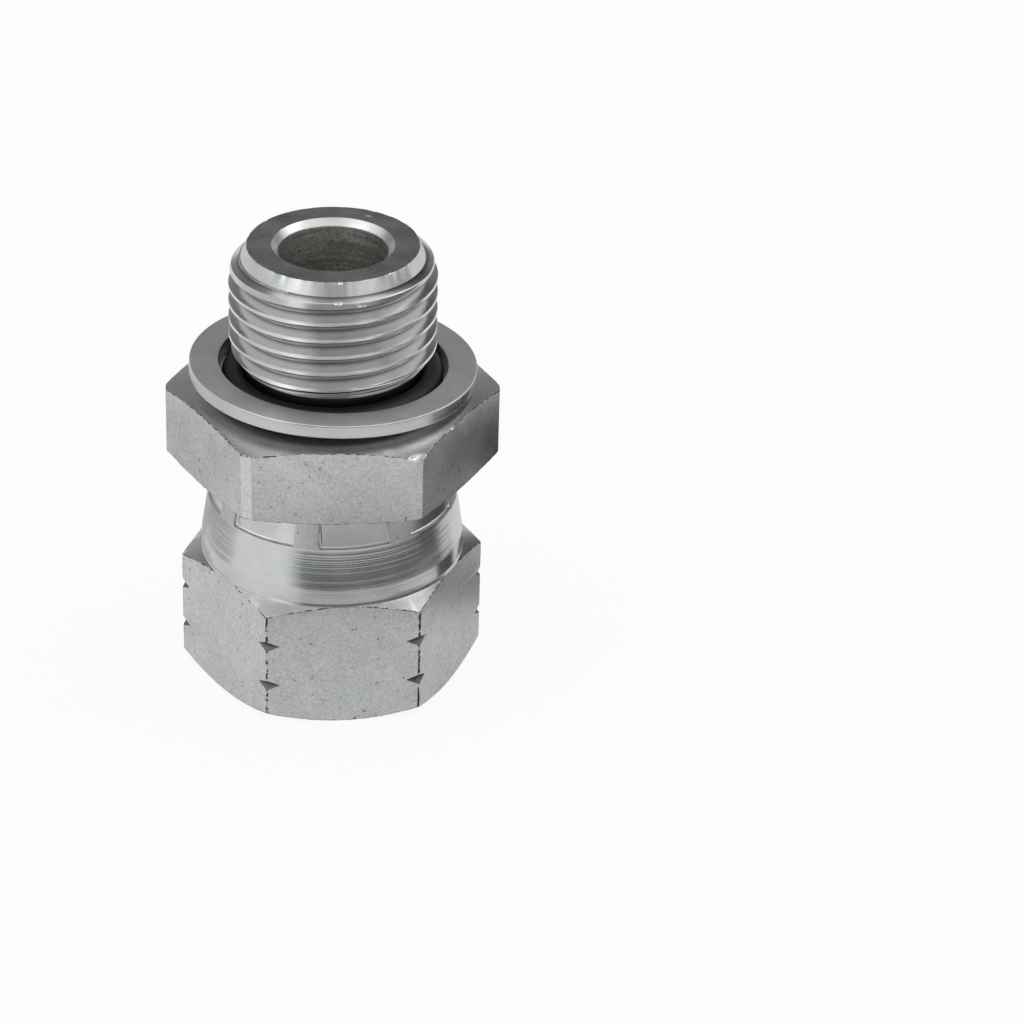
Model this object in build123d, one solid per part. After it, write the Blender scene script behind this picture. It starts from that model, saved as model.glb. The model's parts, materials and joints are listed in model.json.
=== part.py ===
from build123d import *
import math
import os

# Straight hydraulic adapter: a turned steel stud with a hex, and a hex nut crimped on its tail so
# that it swivels.  Millimetres, +Z along the axis, origin at the centre of the nut's open end.

# ---- pipe thread, half-inch parallel: plain cylinders at the crest of each thread ----
STUD_THREAD_RADIUS = 10.4775
NUT_THREAD_RADIUS = 9.3155

# ---- swivel nut ----
NUT_ACROSS_FLATS = 27.0
NUT_TURN = 5.0  # degrees between a nut corner and the body hex corner at rest
NUT_HEX_HEIGHT = 13.6
NUT_MOUTH_BEVEL = 30.0  # degrees, the bevel that takes the hex corners off at the open end
NUT_NECK_BEVEL = 25.0  # degrees, the same at the neck end
NUT_FACE_INSET = 0.1  # edge of each end face, inside the flats
NUT_MOUTH_CHAMFER = 1.5  # countersink in front of the thread
NUT_THREAD_DEPTH = 10.2
NUT_RELIEF_WIDTH = 1.6
NUT_RELIEF_DEPTH = 1.35
NUT_SHELF = 1.1  # land between the relief and the counterbore, which the flange sits on
NUT_WALL = 2.55  # neck wall round the counterbore
NECK_STRAIGHT = 1.9  # parallel part of the neck before it draws in
NECK_DRAW = 8.5  # degrees, taper of the neck up to the crimp
CRIMP_HEIGHT = 3.9
CRIMP_DRAW = 13.0  # degrees, taper of the crimped lip
CRIMP_JAWS = 8
CRIMP_JAW_WIDTH = 34.0  # degrees taken by one jaw
CRIMP_JAW_TURN = 8.0  # degrees from the middle of the front face
CRIMP_DEPTH = 0.4
LIP_EDGE = 0.4  # broken edge at the top of the lip

# ---- two identification grooves, turned across the nut's corners only ----
GROOVE_HEIGHTS = (4.6, 9.2)
GROOVE_DEPTH = 0.65  # below the corner
GROOVE_HALF_WIDTH = 0.6

# ---- body behind the nut ----
BORE_RADIUS = 5.5
BORE_CHAMFER = 0.65
FLANGE_THICKNESS = 5.6
FLANGE_SEAT = 1.4845  # radial width that sits on the nut's shelf
FLANGE_LIP = 1.2  # radial width of the 45 degree shoulder that the crimped lip holds
NOSE_LENGTH = 2.4
NOSE_CLEARANCE = 0.6  # radial, inside the nut's thread
NOSE_CHAMFER = 0.5

# ---- running clearances of the swivel ----
SWIVEL_CLEARANCE = 0.08  # radial, flange in counterbore
SWIVEL_END_GAP = 0.05  # flange on shelf, and flange under lip
LIP_CLEARANCE = 0.3  # radial, lip round shank
TAIL_GAP = 0.3  # nut's end under the body hex

# ---- body hex ----
BODY_ACROSS_FLATS = 30.0
BODY_CORNER_SKIM = 0.3705  # taken off each corner of the hex bar
BODY_HEX_HEIGHT = 8.15
BODY_TOP_BEVEL = 15.0  # degrees
BODY_TOP_FACE_INSET = 0.55  # sealing face edge, inside the flats
BODY_UNDER_BEVEL = 12.0  # degrees
BODY_UNDER_FACE_INSET = 0.1

# ---- threaded stud ----
STUD_LENGTH = 15.4
UNDERCUT_DEPTH = 1.4775  # below the thread's crest
UNDERCUT_LENGTH = 2.7
RUNOUT_LENGTH = 2.0  # cone from the undercut up to the full thread
LEAD_LENGTH = 3.43  # lead chamfer over the first turns, up to the end face
LEAD_DROP = 1.85  # radial

# ---- seal ring and its metal retaining ring ----
SEAL_SECTION_RADIUS = 1.1
SEAL_SECTION_SIDES = 12  # a fine polygon stands for the soft ring's round section
SEAL_GRIP_GAP = 0.03
SEAT_GAP = 0.02
RING_FIT_GAP = 0.38  # radial, retaining ring round the seal ring
RING_HUB_WALL = 1.3
RING_RIM_WALL = 2.95
RING_RIM_THICKNESS = 1.37
RING_HUB_HEIGHT = 0.55
RING_EDGE = 0.15
RING_TILT = 2.0  # degrees: the ring floats on the seal ring and sits slightly cocked
RING_LEAN = 30.0  # degrees from +X, the side it leans down to

# ---- levels along the axis, worked out from the sizes above ----
shelf_top = NUT_THREAD_DEPTH + NUT_RELIEF_WIDTH + NUT_SHELF
flange_bottom = shelf_top + SWIVEL_END_GAP
flange_top = flange_bottom + FLANGE_THICKNESS
lip_bottom = flange_top + SWIVEL_END_GAP
nose_face = flange_bottom - NOSE_LENGTH
nut_top = lip_bottom + FLANGE_LIP + CRIMP_HEIGHT
hex_bottom = nut_top + TAIL_GAP
hex_top = hex_bottom + BODY_HEX_HEIGHT
stud_top = hex_top + STUD_LENGTH

# ---- radii worked out from the sizes above ----
flange_radius = NUT_THREAD_RADIUS + FLANGE_SEAT
shank_radius = flange_radius - FLANGE_LIP  # the crimped lip turns on it
counterbore_radius = flange_radius + SWIVEL_CLEARANCE
lip_radius = shank_radius + LIP_CLEARANCE
neck_radius = counterbore_radius + NUT_WALL
nose_radius = NUT_THREAD_RADIUS - NOSE_CLEARANCE
nut_corner_radius = NUT_ACROSS_FLATS / math.sqrt(3)
body_corner_radius = BODY_ACROSS_FLATS / math.sqrt(3) - BODY_CORNER_SKIM
undercut_radius = STUD_THREAD_RADIUS - UNDERCUT_DEPTH
seal_centre_radius = undercut_radius + SEAL_GRIP_GAP + SEAL_SECTION_RADIUS
ring_bore_radius = seal_centre_radius + SEAL_SECTION_RADIUS + RING_FIT_GAP
ring_hub_radius = ring_bore_radius + RING_HUB_WALL
ring_rim_radius = ring_bore_radius + RING_RIM_WALL


def slope(run, degrees):
    """Rise of a cone over a radial run."""
    return run * math.tan(math.radians(degrees))


def turned(points, arc=360.0):
    """Solid of revolution about Z from (radius, height) points."""
    return revolve(Plane.XZ * Polygon(*points, align=None), Axis.Z, revolution_arc=arc)


def hexagon(across_flats, bottom, top, turn):
    """Hex prism with a corner on +X, turned about Z."""
    outline = RegularPolygon(radius=across_flats / 2, side_count=6, major_radius=False)
    return Pos(0, 0, bottom) * Rot(0, 0, turn) * extrude(outline, amount=top - bottom)


def edges_at(solid, radius, height, reach=0.02):
    """Round edges of a solid that lie at one radius and height."""
    found = []
    for edge in solid.edges().filter_by(GeomType.CIRCLE):
        near_height = abs(edge.arc_center.Z - height) < reach
        if near_height and abs(edge.radius - radius) < reach:
            found.append(edge)
    return found


def stud_body():
    """Stud, hex, shank, flange and nose: one turned piece, drilled through."""
    flats = BODY_ACROSS_FLATS / 2
    face = flats - BODY_TOP_FACE_INSET
    top_drop = slope(body_corner_radius - face, BODY_TOP_BEVEL)
    under_face = flats - BODY_UNDER_FACE_INSET
    under_rise = slope(body_corner_radius - under_face, BODY_UNDER_BEVEL)
    hex_envelope = turned(
        [
            (0, hex_bottom),
            (under_face, hex_bottom),
            (body_corner_radius, hex_bottom + under_rise),
            (body_corner_radius, hex_top - top_drop),
            (face, hex_top),
            (0, hex_top),
        ]
    )
    hex_part = hexagon(BODY_ACROSS_FLATS, hex_bottom, hex_top, 0) & hex_envelope

    undercut_top = hex_top + UNDERCUT_LENGTH
    stud = turned(
        [
            (0, hex_bottom),
            (undercut_radius, hex_bottom),
            (undercut_radius, undercut_top),
            (STUD_THREAD_RADIUS, undercut_top + RUNOUT_LENGTH),
            (STUD_THREAD_RADIUS, stud_top - LEAD_LENGTH),
            (STUD_THREAD_RADIUS - LEAD_DROP, stud_top),
            (0, stud_top),
        ]
    )

    shank = turned(
        [
            (0, nose_face),
            (nose_radius - NOSE_CHAMFER, nose_face),
            (nose_radius, nose_face + NOSE_CHAMFER),
            (nose_radius, flange_bottom),
            (flange_radius, flange_bottom),
            (flange_radius, flange_top),
            (shank_radius, flange_top + FLANGE_LIP),
            (shank_radius, hex_bottom),
            (0, hex_bottom),
        ]
    )

    wide = BORE_RADIUS + BORE_CHAMFER
    bore = turned(
        [
            (0, nose_face),
            (wide, nose_face),
            (BORE_RADIUS, nose_face + BORE_CHAMFER),
            (BORE_RADIUS, stud_top - BORE_CHAMFER),
            (wide, stud_top),
            (0, stud_top),
        ]
    )
    return hex_part + stud + shank - bore


def neck_profile(inset=0.0):
    """(radius, height) points down the neck's outside, moved in by an inset."""
    crimp_bottom = nut_top - CRIMP_HEIGHT
    draw_bottom = NUT_HEX_HEIGHT + NECK_STRAIGHT
    draw = slope(crimp_bottom - draw_bottom, NECK_DRAW)
    crimp = slope(CRIMP_HEIGHT, CRIMP_DRAW)
    return [
        (neck_radius - draw - crimp - inset, nut_top),
        (neck_radius - draw - inset, crimp_bottom),
        (neck_radius - inset, draw_bottom),
    ]


def jaw_imprints():
    """What the crimping jaws press out of the lip: shallow steps with ridges between them."""
    lip, foot, _ = neck_profile(CRIMP_DEPTH)
    clear = neck_radius + 1
    jaw = turned([lip, foot, (clear, foot[1]), (clear, nut_top)], CRIMP_JAW_WIDTH)
    first = -90 + CRIMP_JAW_TURN - CRIMP_JAW_WIDTH / 2
    pitch = 360 / CRIMP_JAWS
    return [Rot(0, 0, first + pitch * place) * jaw for place in range(CRIMP_JAWS)]


def corner_groove(height):
    """V turned into the nut's corners at one height."""
    clear = nut_corner_radius + GROOVE_DEPTH
    half = GROOVE_HALF_WIDTH * 2
    return turned(
        [
            (nut_corner_radius - GROOVE_DEPTH, height),
            (clear, height - half),
            (clear, height + half),
        ]
    )


def swivel_nut():
    """Hex nut with its neck crimped in behind the body's flange."""
    face = NUT_ACROSS_FLATS / 2 - NUT_FACE_INSET
    corner = nut_corner_radius
    hex_envelope = turned(
        [
            (0, 0),
            (face, 0),
            (corner, slope(corner - face, NUT_MOUTH_BEVEL)),
            (corner, NUT_HEX_HEIGHT - slope(corner - face, NUT_NECK_BEVEL)),
            (face, NUT_HEX_HEIGHT),
            (0, NUT_HEX_HEIGHT),
        ]
    )
    hex_part = hexagon(NUT_ACROSS_FLATS, 0, NUT_HEX_HEIGHT, NUT_TURN) & hex_envelope
    for height in GROOVE_HEIGHTS:
        hex_part -= corner_groove(height)

    root = NUT_HEX_HEIGHT / 2
    neck = turned([(0, root), (0, nut_top), *neck_profile(), (neck_radius, root)])
    neck = chamfer(edges_at(neck, neck_profile()[0][0], nut_top), LIP_EDGE)
    for imprint in jaw_imprints():
        neck -= imprint

    mouth = NUT_THREAD_RADIUS + NUT_MOUTH_CHAMFER
    relief = NUT_THREAD_RADIUS + NUT_RELIEF_DEPTH
    relief_top = NUT_THREAD_DEPTH + NUT_RELIEF_WIDTH
    inside = turned(
        [
            (0, 0),
            (mouth, 0),
            (NUT_THREAD_RADIUS, NUT_MOUTH_CHAMFER),
            (NUT_THREAD_RADIUS, NUT_THREAD_DEPTH),
            (relief, NUT_THREAD_DEPTH),
            (relief, relief_top),
            (NUT_THREAD_RADIUS, relief_top),
            (NUT_THREAD_RADIUS, shelf_top),
            (counterbore_radius, shelf_top),
            (counterbore_radius, lip_bottom),
            (lip_radius, lip_bottom + counterbore_radius - lip_radius),
            (lip_radius, nut_top),
            (0, nut_top),
        ]
    )
    return hex_part + neck - inside


def o_ring():
    """Seal ring of round section, stretched on the undercut and resting on the hex face."""
    level = hex_top + SEAT_GAP + SEAL_SECTION_RADIUS
    section = RegularPolygon(SEAL_SECTION_RADIUS, SEAL_SECTION_SIDES)
    return revolve(Plane.XZ * Pos(seal_centre_radius, level) * section, Axis.Z)


def retaining_ring():
    """Stepped steel ring that holds the seal ring in, lying slightly cocked on the hex face."""
    rim_top = RING_HUB_HEIGHT + RING_RIM_THICKNESS
    flat = turned(
        [
            (ring_bore_radius, 0),
            (ring_hub_radius, 0),
            (ring_hub_radius, RING_HUB_HEIGHT),
            (ring_rim_radius - RING_EDGE, RING_HUB_HEIGHT),
            (ring_rim_radius, RING_HUB_HEIGHT + RING_EDGE),
            (ring_rim_radius, rim_top - RING_EDGE),
            (ring_rim_radius - RING_EDGE, rim_top),
            (ring_bore_radius + RING_EDGE, rim_top),
            (ring_bore_radius, rim_top - RING_EDGE),
        ]
    )
    lift = ring_hub_radius * math.sin(math.radians(RING_TILT)) + SEAT_GAP
    lean = Rot(0, 0, RING_LEAN) * Rot(0, RING_TILT, 0) * Rot(0, 0, -RING_LEAN)
    return Pos(0, 0, hex_top + lift) * lean * flat


nodes = {
    "stud_body": stud_body(),
    "swivel_nut": swivel_nut(),
    "o_ring": o_ring(),
    "retaining_ring": retaining_ring(),
}

os.makedirs("parts", exist_ok=True)
for name, part in nodes.items():
    part.label = name
    export_step(part, f"parts/{name}.step")
    print(name, round(part.volume, 1), "mm3", part.bounding_box())
print("nut top", nut_top, "hex", hex_bottom, hex_top, "stud top", stud_top)
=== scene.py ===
# %% [markdown]
# # A hydraulic adapter with a crimped swivel nut
# The real thing is four pieces: a turned steel stud with a hex, a hex nut whose neck is crimped
# in behind a flange on the stud, a rubber seal ring, and a stepped steel ring that holds the
# seal in place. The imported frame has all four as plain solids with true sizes. It could be
# shown as it is, with better materials, but it has no threads, no soft edges and no tool
# marks. So each piece is modelled again here, inside the space of its plain solid.

# %% Load the frame
import json
import math
import random

import bmesh
import bpy
from mathutils import Matrix, Vector


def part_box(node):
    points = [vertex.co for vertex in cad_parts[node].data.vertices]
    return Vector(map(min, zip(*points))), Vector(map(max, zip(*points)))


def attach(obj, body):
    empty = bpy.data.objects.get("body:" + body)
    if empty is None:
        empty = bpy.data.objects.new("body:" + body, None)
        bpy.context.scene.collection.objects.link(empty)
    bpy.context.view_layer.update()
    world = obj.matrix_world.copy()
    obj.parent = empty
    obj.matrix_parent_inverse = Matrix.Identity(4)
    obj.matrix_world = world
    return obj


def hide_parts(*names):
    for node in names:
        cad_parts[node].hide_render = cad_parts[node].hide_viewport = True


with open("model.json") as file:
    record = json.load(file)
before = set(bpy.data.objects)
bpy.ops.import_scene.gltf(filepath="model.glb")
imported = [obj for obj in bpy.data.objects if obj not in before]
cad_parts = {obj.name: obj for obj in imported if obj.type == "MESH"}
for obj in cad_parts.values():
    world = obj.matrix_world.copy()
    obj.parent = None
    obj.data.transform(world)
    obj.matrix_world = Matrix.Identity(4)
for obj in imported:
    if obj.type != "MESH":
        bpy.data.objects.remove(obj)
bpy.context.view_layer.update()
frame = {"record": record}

# %% [markdown]
# ## Sizes
# A machinist's drawing gives millimetres, and Blender works in metres, so sizes are named in
# millimetres and turned into metres at the moment of drawing. What the frame already knows is
# read from it: the ends of each piece, and the thread and bore sizes of its fastening points.

# %% Sizes read from the frame, in millimetres
MM = 0.001


def box_mm(node):
    """Lowest and highest corner of a plain solid, in millimetres."""
    low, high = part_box(node)
    return low / MM, high / MM


sizes = {mount["name"]: mount["dims"] for mount in frame["record"]["mounts"]}
THREAD_CREST = sizes["stud_thread"]["r_mm"]
THREAD_ROOT = sizes["nut_thread"]["r_mm"]
BORE = sizes["flow_bore"]["r_mm"]

SKIN = 0.03  # kept free inside the plain solids for ragged edges

stud_low, stud_high = box_mm("stud_body")
nut_high = box_mm("swivel_nut")[1]
seal_low, seal_high = box_mm("o_ring")

BODY_CORNER = stud_high.x - SKIN
BODY_FLAT = stud_high.y - SKIN
NOSE_FACE = stud_low.z
STUD_TOP = stud_high.z - SKIN
NUT_TOP = nut_high.z
SEAL_SECTION = (seal_high.z - seal_low.z) / 2
SEAL_LEVEL = (seal_high.z + seal_low.z) / 2
SEAL_CENTRE = seal_high.x - SEAL_SECTION
print("thread", THREAD_CREST, THREAD_ROOT, "bore", BORE, "body", BODY_FLAT, BODY_CORNER)

# %% Sizes of the stud that only its drawing gives, in millimetres
THREAD_PITCH = 1.814
THREAD_HALF_ANGLE = 27.5  # degrees
HEX_TOP = STUD_TOP + SKIN - 15.4
HEX_BOTTOM = HEX_TOP - 8.15
UNDERCUT = 9.0
UNDERCUT_TOP = HEX_TOP + 2.7
RUNOUT_TOP = UNDERCUT_TOP + 2.0
LEAD_BOTTOM = STUD_TOP + SKIN - 3.43
FIRST_CREST = 10.05
FIRST_CREST_TOP = STUD_TOP - 1.57
CHAMFER = THREAD_ROOT + 0.015
CHAMFER_BOTTOM = STUD_TOP - 1.27
FACE_RADIUS = THREAD_CREST - 1.85
FLANGE = 10.8
FLANGE_BOTTOM = 12.95
FLANGE_TOP = 18.55
SHANK = 9.6
NOSE = 8.7155
print("hex", HEX_BOTTOM, HEX_TOP, "thread from", RUNOUT_TOP, "to", LEAD_BOTTOM)

# %% Sizes of the nut and the two rings, in millimetres
NUT_FLAT = 13.5
NUT_CORNER = NUT_FLAT / math.cos(math.radians(30))
NUT_TURN = 5.0  # degrees
NUT_HEX_TOP = 13.6
NECK = 13.43
NECK_DRAW_BOTTOM = 15.5
CRIMP_BOTTOM = 19.8
CRIMP_FOOT = 12.787
CRIMP_SLOPE = 13  # degrees, how far the crimped lip leans in
LIP = 11.887
LIP_BORE = 9.9
COUNTERBORE = 10.88
COUNTERBORE_TOP = 18.6
SHELF_TOP = 12.9
RELIEF = 10.6655
RELIEF_BOTTOM = 10.2
RELIEF_TOP = 11.8
RING_BORE = 11.61
RING_HUB = 12.91
RING_RIM = 14.56
RING_HUB_HEIGHT = 0.55
RING_TOP = 1.92
RING_TILT = math.radians(2)
RING_LEAN = math.radians(30)
print("nut corner", round(NUT_CORNER, 3), "ring", RING_BORE, RING_RIM)

# %% [markdown]
# ## Drawing turned shapes
# Nearly every surface here was made on a lathe. The same is done in Blender: an outline of half
# the section is drawn by extruding one vertex from corner to corner, its corners are rounded
# with a vertex bevel, and the outline is spun about the axis. A cylinder primitive with loop
# cuts would also do, but an outline reads like a turner's drawing and keeps every corner named.

# %% Pick and select in code
TURN_STEPS = 192
MERGE = 0.0001 * MM
FINE_ROUNDING = 0.3  # below this a rounding needs few steps


def pick(piece):
    """Makes one object the only selected and the active one."""
    bpy.ops.object.select_all(action="DESELECT")
    piece.select_set(True)
    bpy.context.view_layer.objects.active = piece


def reach(point):
    """Distance of a point from the axis, in millimetres."""
    return math.hypot(point.x, point.y) / MM


def select(kind, wanted):
    """Selects the VERT or EDGE parts that a test accepts, in edit mode, and counts them."""
    bpy.ops.mesh.select_mode(type=kind)
    bpy.ops.mesh.select_all(action="DESELECT")
    mesh = bpy.context.object.data
    shape = bmesh.from_edit_mesh(mesh)
    parts = {"VERT": shape.verts, "EDGE": shape.edges}[kind]
    chosen = [part for part in parts if wanted(part)]
    for part in chosen:
        part.select_set(True)
    shape.select_flush_mode()
    bmesh.update_edit_mesh(mesh)
    return len(chosen)


print("helpers for picking and selecting are ready")


# %% Draw an outline and spin it
def draw_outline(name, corners, closed=False):
    """Wire through (radius, height, rounding) corners in millimetres, left in edit mode."""
    bpy.ops.object.select_all(action="DESELECT")
    bpy.ops.mesh.primitive_plane_add(size=MM, location=(0, 0, 0))
    wire = bpy.context.object
    wire.name = name
    bpy.ops.object.mode_set(mode="EDIT")
    bpy.ops.mesh.select_mode(type="VERT")
    bpy.ops.mesh.select_all(action="SELECT")
    bpy.ops.mesh.merge(type="CENTER")
    points = [Vector((corner[0], 0, corner[1])) * MM for corner in corners]
    bpy.ops.transform.translate(value=points[0])
    path = points + points[:1] if closed else points
    for start, end in zip(path, path[1:]):
        bpy.ops.mesh.extrude_region_move(TRANSFORM_OT_translate={"value": end - start})
    if closed:
        bpy.ops.mesh.select_all(action="SELECT")
        bpy.ops.mesh.remove_doubles(threshold=MERGE)
    for point, corner in zip(points, corners):
        if len(corner) == 3:
            select("VERT", lambda vert: (vert.co - point).length < MERGE)
            steps = 3 if corner[2] < FINE_ROUNDING else 8
            bpy.ops.mesh.bevel(affect="VERTICES", offset=corner[2] * MM, segments=steps)
    bpy.ops.mesh.select_all(action="SELECT")
    return wire


def close_up():
    """Merges the poles and seam of the shape in edit mode and points its faces outwards."""
    bpy.ops.mesh.select_all(action="SELECT")
    bpy.ops.mesh.remove_doubles(threshold=MERGE)
    bpy.ops.mesh.normals_make_consistent(inside=False)
    if bmesh.from_edit_mesh(bpy.context.object.data).calc_volume(signed=True) < 0:
        bpy.ops.mesh.flip_normals()
    bpy.ops.object.mode_set(mode="OBJECT")


def turned(name, corners, closed=False):
    """Closed solid turned from an outline."""
    solid = draw_outline(name, corners, closed)
    bpy.ops.mesh.spin(
        steps=TURN_STEPS, angle=math.tau, center=(0, 0, 0), axis=(0, 0, 1), use_auto_merge=True
    )
    close_up()
    return solid


def combine(piece, tool, operation):
    """Applies a UNION, DIFFERENCE or INTERSECT of a piece with a tool, which is used up."""
    pick(piece)
    step = piece.modifiers.new(tool.name, "BOOLEAN")
    step.operation = operation
    step.solver = "MANIFOLD"
    step.object = tool
    bpy.ops.object.modifier_apply(modifier=step.name)
    bpy.data.objects.remove(tool)


print("helpers for turned shapes are ready")

# %% [markdown]
# ## Hex bars, burrs and knocks
# The hexes are drawn bar stock whose corners are taken off by a turned bevel. A six-sided
# cylinder primitive is cut back by a turned envelope, as the lathe does it. A Bevel modifier
# could round all its rims at once, but the tiny edges that the cut leaves would hold it back, so
# the rims are found by their sharpness, cleared of tiny edges and bevelled in edit mode.
# Tumbling and plating leave the edges slightly ragged, so their vertices are moved a little at
# random, with a fixed seed, and small knocks are cut into the crests with stretched spheres.

# %% Hex bar
def hex_bar(name, flat, bottom, top, turn):
    """Six-sided bar in millimetres with a corner on +X before its turn in degrees."""
    bpy.ops.object.select_all(action="DESELECT")
    bpy.ops.mesh.primitive_cylinder_add(
        vertices=6,
        radius=flat / math.cos(math.radians(30)) * MM,
        depth=(top - bottom) * MM,
        location=(0, 0, (top + bottom) / 2 * MM),
        rotation=(0, 0, math.radians(30 + turn)),
    )
    bar = bpy.context.object
    bar.name = name
    bpy.ops.object.transform_apply(location=True, rotation=True, scale=True)
    return bar


def upright(edge):
    """True for an edge that runs along the axis."""
    along = edge.verts[1].co - edge.verts[0].co
    return abs(along.z) > 0.99 * along.length


def ragged_corners(bar, cuts, rough, seed):
    """Splits the bar's upright corners into short lengths and makes its rims slightly ragged."""
    pick(bar)
    bpy.ops.object.mode_set(mode="EDIT")
    select("EDGE", upright)
    bpy.ops.mesh.subdivide(number_cuts=cuts)
    roughen(lambda vert: reach(vert.co) > NUT_FLAT + 0.1, rough, seed)
    bpy.ops.object.mode_set(mode="OBJECT")


def blunt_corners(bar, width):
    """Rounds the upright corners of a bar."""
    pick(bar)
    bpy.ops.object.mode_set(mode="EDIT")
    select("EDGE", upright)
    bpy.ops.mesh.bevel(offset=width * MM, segments=2)
    bpy.ops.object.mode_set(mode="OBJECT")


RIM_SHARP = math.radians(14)
RIM_MERGE = 1.5  # times the width of the bevel: shorter edges would hold it back


def soften_rims(bar, wanted, width):
    """Rounds the sharp edges of a bar that a test accepts."""

    def on_rim(edge):
        """True for a sharp edge whose middle lies in the wanted place."""
        middle = (edge.verts[0].co + edge.verts[1].co) / 2
        return edge.calc_face_angle(0) > RIM_SHARP and wanted(middle)

    pick(bar)
    bpy.ops.object.mode_set(mode="EDIT")
    select("EDGE", on_rim)
    bpy.ops.mesh.remove_doubles(threshold=RIM_MERGE * width * MM)
    found = select("EDGE", on_rim)
    bpy.ops.mesh.bevel(offset=width * MM, segments=2, clamp_overlap=False)
    bpy.ops.object.mode_set(mode="OBJECT")
    print(bar.name, "rims rounded along", found, "edges")


def roughen(wanted, amount, seed):
    """Moves the vertices that a test accepts by a small random step, in millimetres."""
    select("VERT", wanted)
    bpy.ops.transform.vertex_random(offset=amount * MM, uniform=0, normal=0, seed=seed)


print("helpers for hex bars are ready")


# %% Knocks
KNOCK_ROUGHNESS = 0.1  # share of the knock's smallest half-width


def knock(piece, radius, angle, height, size, seed):
    """Cuts a small dent at a place given by radius, angle in degrees and height."""
    bpy.ops.object.select_all(action="DESELECT")
    turn = math.radians(angle)
    spot = Vector((radius * math.cos(turn), radius * math.sin(turn), height)) * MM
    bpy.ops.mesh.primitive_ico_sphere_add(
        subdivisions=2,
        radius=MM,
        location=spot,
        rotation=(0, 0, turn),
        scale=size,
    )
    dent = bpy.context.object
    dent.name = "knock"
    bpy.ops.object.transform_apply(location=True, rotation=True, scale=True)
    bpy.ops.object.mode_set(mode="EDIT")
    roughen(lambda vert: True, KNOCK_ROUGHNESS * min(size), seed)
    bpy.ops.object.mode_set(mode="OBJECT")
    combine(piece, dent, "DIFFERENCE")


print("helper for knocks is ready")

# %% [markdown]
# ## The thread
# The thread is a half-inch parallel pipe thread with a 55 degree form. Real ones are rolled or
# cut as a helix, so it is not faked with rings: one pitch of its outline is drawn and carried
# round and up by a Screw modifier. The crest has two fine ridges with a hollow between, which
# is what a rolling die leaves when the metal does not quite fill it. Bisecting the ends and
# filling them gives a closed bar that can be cut to any form.

# %% Threaded bar
THREAD_STEPS = 120


def thread_outline(shrink):
    """(radius, height) points over one pitch, from the middle of a root to the next."""
    lean = math.tan(math.radians(THREAD_HALF_ANGLE))
    root = THREAD_ROOT - shrink
    crest = THREAD_CREST - shrink
    foot = THREAD_PITCH / 4 - (crest - root) * lean / 2
    half = [
        (root, 0),
        (root + 0.02, foot * 0.7),
        (root + 0.09, foot + 0.05),
        (crest - 0.1, foot + (crest - root - 0.1) * lean),
        (crest - 0.02, foot + (crest - root) * lean - 0.02),
        (crest, foot + (crest - root) * lean + 0.04),
    ]
    middle = [(crest - 0.04, THREAD_PITCH / 2)]
    other = [(radius, THREAD_PITCH - height) for radius, height in reversed(half)]
    return half + middle + other


def threaded_bar(name, bottom, top, start, shrink=0.0):
    """Closed bar with a right-hand thread; start sets the height of a root on the +X side."""
    turns = math.ceil((top - bottom) / THREAD_PITCH) + 3
    below = bottom - THREAD_PITCH - (bottom - start) % THREAD_PITCH
    outline = [(radius, below + height) for radius, height in thread_outline(shrink)]
    bar = draw_outline(name, outline)
    bpy.ops.object.mode_set(mode="OBJECT")
    screw = bar.modifiers.new("Helix", "SCREW")
    screw.screw_offset = THREAD_PITCH * MM
    screw.iterations = turns
    screw.steps = THREAD_STEPS
    screw.render_steps = THREAD_STEPS
    screw.use_merge_vertices = True
    screw.merge_threshold = MERGE
    pick(bar)
    bpy.ops.object.modifier_apply(modifier=screw.name)
    bpy.ops.object.mode_set(mode="EDIT")
    bpy.ops.mesh.select_all(action="SELECT")
    bpy.ops.mesh.remove_doubles(threshold=MERGE)
    for height, normal in ((bottom, -1), (top, 1)):
        bpy.ops.mesh.select_all(action="SELECT")
        bpy.ops.mesh.bisect(
            plane_co=(0, 0, height * MM),
            plane_no=(0, 0, normal),
            use_fill=True,
            clear_outer=True,
            threshold=MERGE,
        )
    close_up()
    return bar


print("helper for threads is ready")

# %% [markdown]
# ## The stud
# The stud is one piece of steel: a threaded end, a groove for the seal, a hex, and under it the
# shank and flange that the nut turns on, with a bore right through. The pieces of the form are
# turned one by one and united, each sunk a little into its neighbour, because a union of
# solids that only touch face to face often fails.

# %% Threaded end
RIDGE_OUT = 0.26
RIDGE_UP = 0.2


def stepped_runout(steps):
    """(radius, height) points up the run-out, with the fine ridges that the tool leaves."""
    points = []
    for step in range(steps):
        share = step / steps
        radius = UNDERCUT + (THREAD_CREST - UNDERCUT) * share
        height = UNDERCUT_TOP + (RUNOUT_TOP - UNDERCUT_TOP) * share
        points.append((radius, height))
        points.append((radius + RIDGE_OUT, height + RIDGE_UP))
    return points


def slope(run, degrees):
    """Rise of a cone over a radial run."""
    return run * math.tan(math.radians(degrees))


THREAD_START = 1.634
SUNK = 1.5
CLEAR = 0.05
FACE_ROUGHNESS = 0.05
CREST_ROUGHNESS = 0.012

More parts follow.
